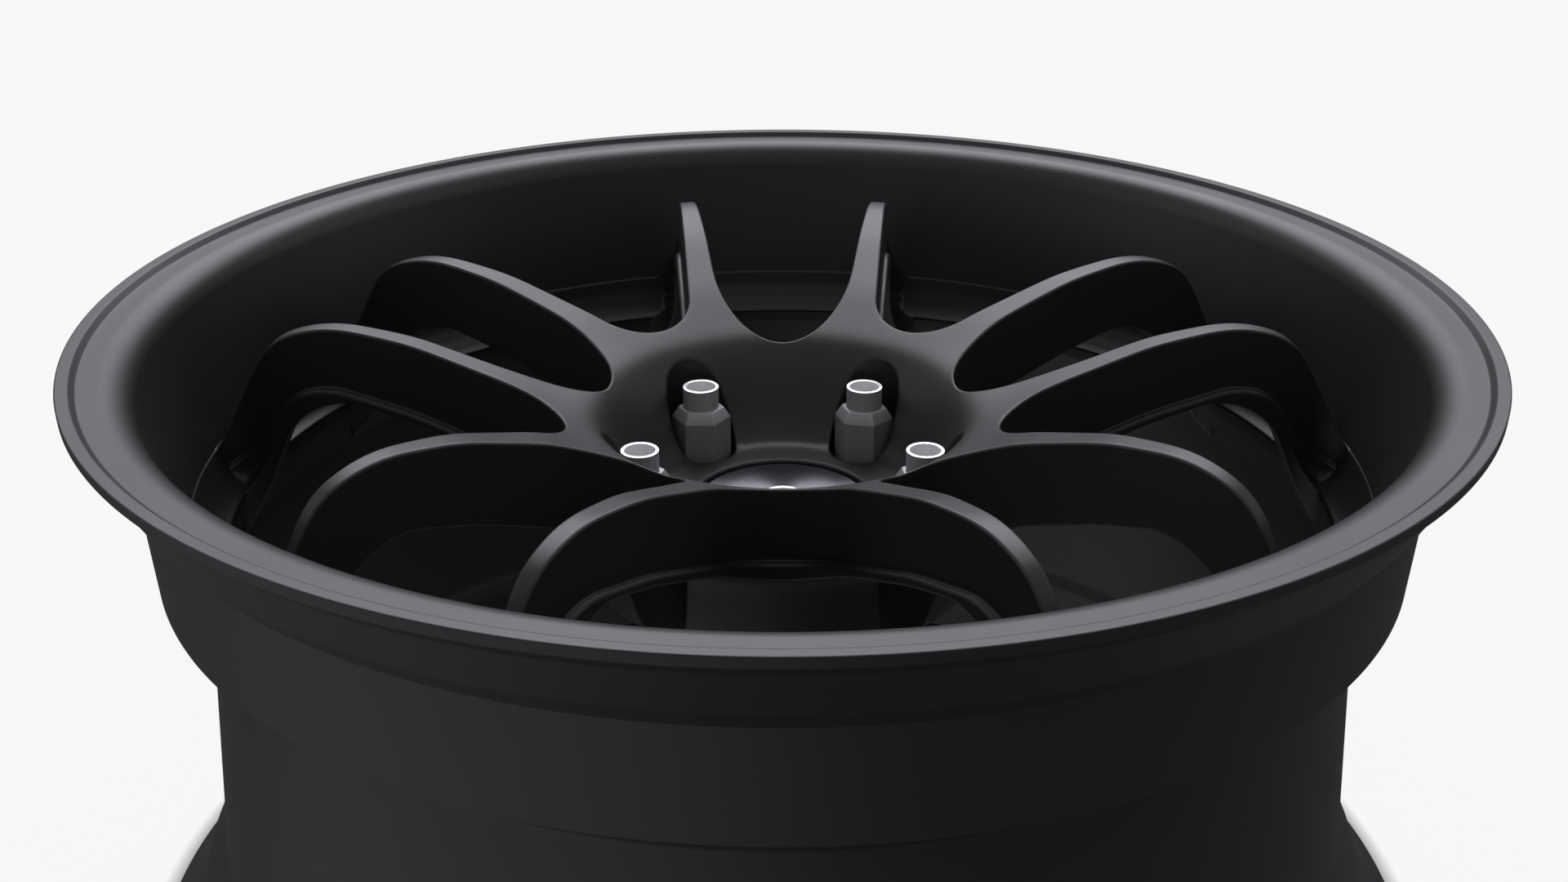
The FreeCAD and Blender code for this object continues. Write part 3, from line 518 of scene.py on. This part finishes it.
def spokes_mesh():
    sector = SectorMesh()
    gap_top, gap_low = window_wall(sector, gap_window, lambda p: p, STEP_WIDTH)
    pair_top, pair_low = window_wall(sector, pair_window, turned_back, 0.0)

    half_turn = [math.pi * k / 48 for k in range(49)]
    rows = []
    for k in range(EDGE_ROWS + 1):
        turn = math.pi / 2 * k / EDGE_ROWS
        width = STUD[0][0] + EDGE * (1 - math.sin(turn))
        ring = [Vector((PITCH_RADIUS - math.cos(a) * width, math.sin(a) * width)) for a in half_turn]
        rows.append(sector.row(ring, lambda r, t=turn: face_z(r) - EDGE * (1 - math.cos(t))))
    for k in range(1, POCKET_ROWS):
        rows.append(sector.row(ring, lambda r, s=k / POCKET_ROWS: (face_z(r) - EDGE) * (1 - s)
                               + STUD[0][1] * s))
    for width, height in STUD:
        rows.append(sector.row([Vector((PITCH_RADIUS - math.cos(a) * width, math.sin(a) * width))
                                for a in half_turn], height))
    sector.skin(rows)
    pocket_top, stud_low = rows[0], rows[-1]

    arc = [HALF_SECTOR * k / 24 for k in range(25)]
    bore = [sector.row([polar(r, a) for a in arc], z) for r, z in [(FACE[0][0], FACE[0][1])] + BORE]
    sector.skin(bore)

    def close(height, hub, holes, gap, pair):
        """Fills one face between the bore, a lug hole and the two windows."""
        def line(start, end, angle):
            low, high = sorted((start.co.xy.length, end.co.xy.length))
            steps = [r for r in np.unique(np.round(height.r, 2)) if low + 0.9 < r < high - 0.9]
            picked = [r for i, r in enumerate(steps) if i == 0 or r - steps[i - 1] > 0.05]
            if start.co.xy.length > end.co.xy.length:
                picked.reverse()
            return sector.row([polar(r, angle) for r in picked], height)

        end, start = gap[-1].co.xy, pair[-1].co.xy
        sweep = math.atan2(start.y, start.x) - math.atan2(end.y, end.x)
        rim = sector.row([polar(end.length, math.atan2(end.y, end.x) + sweep * k / 10)
                          for k in range(1, 10)], height)
        loop = ([hub[0]] + line(hub[0], holes[0], 0.0) + holes + line(holes[-1], gap[0], 0.0) + gap + rim
                + pair[::-1] + line(pair[0], hub[-1], HALF_SECTOR) + hub[:0:-1])
        sector.fill(loop, height, FILL_SPACING)

    close(face_z, bore[0], pocket_top, gap_top, pair_top)
    close(under_z, bore[-1], stud_low, gap_low, pair_low)

    whole = bmesh.new()
    part = bpy.data.meshes.new("sector")
    sector.mesh.to_mesh(part)
    for number in range(2 * LUGS):
        before = len(whole.verts)
        whole.from_mesh(part)
        whole.verts.ensure_lookup_table()
        fresh = whole.verts[before:]
        if number % 2:
            bmesh.ops.scale(whole, vec=(1.0, -1.0, 1.0), verts=fresh)
        spin = Matrix.Rotation(LUG_AXIS + 2 * HALF_SECTOR * (number // 2), 4, "Z")
        bmesh.ops.transform(whole, matrix=spin, verts=fresh)
    bpy.data.meshes.remove(part)
    bmesh.ops.remove_doubles(whole, verts=whole.verts, dist=WELD_DISTANCE)
    bmesh.ops.holes_fill(whole, edges=[e for e in whole.edges if e.is_boundary], sides=0)
    bmesh.ops.recalc_face_normals(whole, faces=whole.faces)
    return whole


def turned_mesh(profile, facets):
    """Closed profile turned about the wheel's axis."""
    made = bmesh.new()
    rings = [[made.verts.new((p.x * math.cos(a), p.x * math.sin(a), p.y)) for p in profile]
             for a in (2 * math.pi * k / facets for k in range(facets))]
    for k, ring in enumerate(rings):
        after = rings[(k + 1) % facets]
        for i in range(len(profile)):
            j = (i + 1) % len(profile)
            if len({ring[i], after[i], after[j], ring[j]}) == 4:
                made.faces.new((ring[i], after[i], after[j], ring[j]))
    bmesh.ops.recalc_face_normals(made, faces=made.faces)
    return made


def as_object(name, made):
    """Scales a millimetre bmesh to metres and links it as a smooth shaded object."""
    bmesh.ops.scale(made, vec=(MM,) * 3, verts=made.verts)
    mesh = bpy.data.meshes.new(name)
    made.to_mesh(mesh)
    made.free()
    for polygon in mesh.polygons:
        polygon.use_smooth = True
    mesh.set_sharp_from_angle(angle=SHARP_ANGLE)
    thing = bpy.data.objects.new(name, mesh)
    scene.collection.objects.link(thing)
    return thing


def forging_skin():
    barrel = as_object("forging_skin", turned_mesh(rounded_path(BARREL, closed=True), BARREL_FACETS))
    # the cutter is hollow on its axis, so it leaves a stray pin of barrel 0.2 mm across there
    seat = [(0.1, 200.0, 0), (11.5, 200.0, 0), (11.5, 216.8, 0), (5.8, 216.8, 0), (5.8, 220.4, 0),
            (11.5, 220.4, 0), (11.5, 232.0, 0), (0.1, 232.0, 0)]
    cutter = as_object("valve_seat_cut", turned_mesh([Vector(p[:2]) for p in seat], SEAT_FACETS))
    cutter.matrix_world = Matrix.Translation((0, 0, VALVE_HEIGHT)) @ Matrix.Rotation(math.pi / 2, 4, "X")
    cut = barrel.modifiers.new("valve_seat", "BOOLEAN")
    cut.object, cut.operation, cut.solver = cutter, "DIFFERENCE", "EXACT"
    bpy.context.view_layer.update()
    done = bpy.data.meshes.new_from_object(barrel.evaluated_get(bpy.context.evaluated_depsgraph_get()))
    barrel.modifiers.clear()
    barrel.data = done
    bpy.data.objects.remove(cutter)
    spokes = as_object("spokes", spokes_mesh())
    both = [barrel, spokes]
    with bpy.context.temp_override(active_object=barrel, object=barrel,
                                   selected_editable_objects=both, selected_objects=both):
        bpy.ops.object.join()
    level = barrel.modifiers.new("even_normals", "WEIGHTED_NORMAL")
    level.keep_sharp = True
    barrel.data.materials.clear()
    barrel.data.materials.append(MATERIALS["forging_coating"])
    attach(barrel, "wheel")
    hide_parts("wheel_forging")


forging_skin()


def cap_disc():
    """The cap's spun cover: a low dome that stops short of the bore, leaving a groove round it.

    Its profile starts at radius 0.05, which leaves a hole 0.1 mm across on the axis.
    """
    profile = [(0.05, 186.4, 0), (8.0, 186.33, 60.0), (16.0, 186.1, 60.0), (24.0, 185.72, 60.0),
               (32.7, 185.15, 0.3), (32.7, 183.25, 0.1), (12.0, 183.25, 0.1), (12.0, 181.2, 0.1),
               (0.05, 181.2, 0)]
    disc = as_object("cap_disc", turned_mesh(rounded_path(profile, closed=True, longest=3.0), CAP_FACETS))
    disc.data.materials.append(MATERIALS["cap_metal"])
    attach(disc, "centre_cap")
    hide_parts("cap_cover")


cap_disc()

# ---- camera, light and floor --------------------------------------------------------------

camera = bpy.data.objects.new("camera", bpy.data.cameras.new("camera"))
scene.collection.objects.link(camera)
camera.location = (0.0, -0.6930, 0.5166)
camera.rotation_euler = (math.radians(66.124), 0.0, 0.0)
camera.data.lens = 44.663
camera.data.sensor_width = 36.0
camera.data.shift_x = 0.0009
camera.data.clip_start = 0.01
scene.camera = camera

BASE_LIGHT = 0.09
PANEL = 3.8
PANEL_LOW, PANEL_HIGH, PANEL_SIDE = (0.26, 0.52), (0.93, 0.985), (0.76, 0.92)
LIGHT_COLOUR = (0.955, 0.945, 1.0, 1.0)
LOBES = (  # direction, cosine where it starts, cosine where it is full, strength
    ((1.0, 0.1, 0.45), 0.75, 1.0, 0.50),
    ((-1.0, 0.1, 0.45), 0.75, 1.0, 0.50),
    ((0.1, -0.6, 0.9), 0.45, 1.0, 0.30),
    ((-0.8, -0.6, -0.45), 0.45, 0.95, 0.35),
)


def studio_light():
    """World light: one tall panel on the far side, weak lobes from four directions, a low base."""
    world = bpy.data.worlds.new("studio")
    world.use_nodes = True
    tree = world.node_tree

    def node(kind, inputs, **settings):
        made = tree.nodes.new(kind)
        for key, value in settings.items():
            setattr(made, key, value)
        for key, value in inputs.items():
            if isinstance(value, bpy.types.NodeSocket):
                tree.links.new(value, made.inputs[key])
            else:
                made.inputs[key].default_value = value
        return made

    way = tree.nodes.new("ShaderNodeTexCoord").outputs["Generated"]

    def lobe(aim, start, end, strength):
        """Light from around one direction, fading in between two cosines."""
        facing = node("ShaderNodeVectorMath", {0: way, 1: Vector(aim).normalized()},
                      operation="DOT_PRODUCT").outputs["Value"]
        return fade(facing, start, end, 0.0, strength)

    def fade(value, start, end, low=0.0, high=1.0):
        return node("ShaderNodeMapRange", {"Value": value, "From Min": start, "From Max": end, "To Min": low,
                                           "To Max": high}, interpolation_type="SMOOTHSTEP").outputs["Result"]

    def times(a, b):
        return node("ShaderNodeMath", {0: a, 1: b}, operation="MULTIPLY").outputs["Value"]

    # the main light: a tall panel on the far side, from low over the lip to nearly overhead
    parts = node("ShaderNodeSeparateXYZ", {0: way}).outputs
    level = node("ShaderNodeCombineXYZ", {"X": parts["X"], "Y": parts["Y"]}).outputs["Vector"]
    level = node("ShaderNodeVectorMath", {0: level}, operation="NORMALIZE").outputs["Vector"]
    ahead = node("ShaderNodeSeparateXYZ", {0: level}).outputs["Y"]
    tall = times(fade(parts["Z"], *PANEL_LOW), fade(parts["Z"], *PANEL_HIGH, 1.0, 0.0))
    total = times(times(tall, fade(ahead, *PANEL_SIDE)), PANEL)
    for one in LOBES:
        total = node("ShaderNodeMath", {0: total, 1: lobe(*one)}, operation="ADD").outputs["Value"]
    total = node("ShaderNodeMath", {0: total, 1: BASE_LIGHT}, operation="ADD").outputs["Value"]
    back = tree.nodes["Background"]
    back.inputs["Color"].default_value = LIGHT_COLOUR
    tree.links.new(total, back.inputs["Strength"])
    scene.world = world


studio_light()

PALE, FLOOR_ALBEDO, FLOOR_DIMMER = 0.925, 0.05, 0.03
FLOOR_RADIUS, BACKDROP_RADIUS = 30.0, 31.0
DARK_TO, PALE_FROM = 0.256, 0.268


def stage_piece(name, build, albedo, glow, shaded=False):
    """Floor or backdrop: pale, and hidden from diffuse, glossy and shadow rays, so it lights nothing."""
    mesh = bpy.data.meshes.new(name)
    builder = bmesh.new()
    build(builder)
    builder.to_mesh(mesh)
    builder.free()
    thing = bpy.data.objects.new(name, mesh)
    scene.collection.objects.link(thing)
    pale = Mat(name + "_pale", Roughness=1.0)
    pale.shader.inputs["Specular IOR Level"].default_value = 0.0
    pale.shader.inputs["Emission Color"].default_value = (1.0, 1.0, 1.0, 1.0)
    if shaded:  # no glow under the wheel: a painted disc that stands in for the wheel's own shade
        flat = pale.node("ShaderNodeVectorMath", {0: pale.where}, operation="LENGTH").outputs["Value"]
        pale.link(pale.ramp(flat, 0.0, glow, DARK_TO, PALE_FROM), "Emission Strength")
    else:
        pale.shader.inputs["Emission Strength"].default_value = glow
    pale.link(pale.tint(pale.noise(3.0), (albedo * 0.99,) * 3, (albedo * 1.01,) * 3), "Base Color")
    mesh.materials.append(pale.mat)
    thing.visible_glossy = thing.visible_diffuse = thing.visible_shadow = False


stage_piece("floor", lambda b: bmesh.ops.create_circle(b, cap_ends=True, segments=64, radius=FLOOR_RADIUS),
            FLOOR_ALBEDO, PALE - FLOOR_DIMMER, True)
stage_piece("backdrop", lambda b: bmesh.ops.create_uvsphere(b, u_segments=64, v_segments=32,
                                                           radius=BACKDROP_RADIUS), 0.0, PALE)

scene.view_settings.view_transform = "Standard"
scene.view_settings.look = "None"
